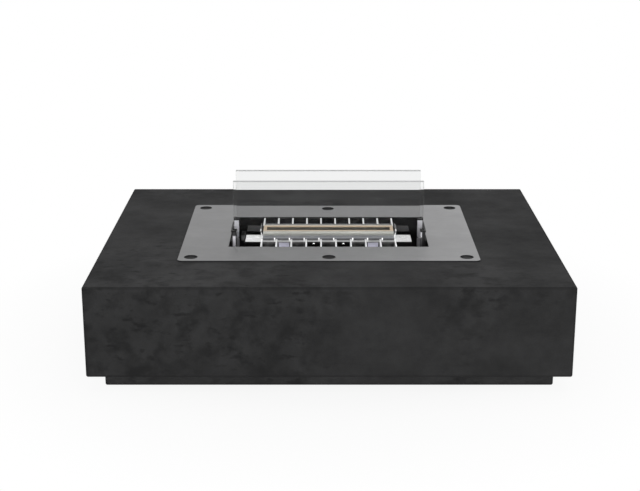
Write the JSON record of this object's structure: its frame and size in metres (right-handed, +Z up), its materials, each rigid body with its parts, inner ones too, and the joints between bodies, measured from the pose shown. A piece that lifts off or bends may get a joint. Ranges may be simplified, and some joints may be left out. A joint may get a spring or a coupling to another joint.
{
  "type": "tabletop fire pit",
  "caption": "Low concrete tabletop fire pit with a steel plate, a liquid-fuel slot burner, fins and two lift-out glass wind screens.",
  "frame": {"origin": "middle of the object, on the table", "axes": "+X to the right along the long side, +Y to the rear, +Z up"},
  "size_m": [0.6, 0.48, 0.217],
  "materials": {
    "concrete": "matt cast fibre concrete",
    "fibre_board": "flat fibre-cement panel",
    "stainless_plate": "fine brushed",
    "stainless": "bright",
    "dark_steel": "heat-darkened",
    "black_enamel": "matt heat-proof black",
    "zinc_steel": "zinc plated",
    "brass": "turned",
    "black_rubber": "matt",
    "clear_glass": "clear, polished edges",
    "white_ceramic": "porous"
  },
  "bodies": {
    "fire_pit": {"absorber_block": "white_ceramic", "base_board": "fibre_board", "base_plinth": "concrete", "board_screws": "zinc_steel", "burner_head": "stainless", "burner_well": "black_enamel", "clip_caps": "black_rubber", "concrete_body": "concrete", "foot_pads": "black_rubber", "foot_screws": "zinc_steel", "front_deck_strip": "stainless", "front_fin_rail": "dark_steel", "front_fins": "stainless", "front_glass_channel": "dark_steel", "front_guide_rail": "dark_steel", "fuel_reservoir": "dark_steel", "glass_clips": "stainless", "glass_gaskets": "black_rubber", "left_head_cheek": "stainless", "left_side_bracket": "dark_steel", "lip_screws": "stainless", "plinth_screws": "zinc_steel", "rear_deck_strip": "dark_steel", "rear_fin_rail": "dark_steel", "rear_fins": "stainless", "rear_glass_channel": "dark_steel", "rear_guide_rail": "dark_steel", "reservoir_hangers": "stainless", "reservoir_lid": "dark_steel", "right_head_cheek": "stainless", "right_side_bracket": "dark_steel", "side_bracket_nuts": "zinc_steel", "side_bracket_screws": "zinc_steel", "top_plate": "stainless_plate", "wall_anchors": "brass", "wall_brackets": "zinc_steel", "wall_screws": "zinc_steel"},
    "front_pane": {"front_glass": "clear_glass"},
    "rear_pane": {"rear_glass": "clear_glass"},
    "regulator": {"regulator_slide": "dark_steel", "regulator_grip": "black_rubber"}
  },
  "joints": [
    {"name": "front_glass_lift", "type": "slide", "parent": "fire_pit", "child": "front_pane", "axis": [0, 0, 1], "range_m": [0, 0.08]},
    {"name": "rear_glass_lift", "type": "slide", "parent": "fire_pit", "child": "rear_pane", "axis": [0, 0, 1], "range_m": [0, 0.08]},
    {"name": "regulator_travel", "type": "slide", "parent": "fire_pit", "child": "regulator", "axis": [-1, 0, 0], "range_m": [0, 0.01]}
  ]
}
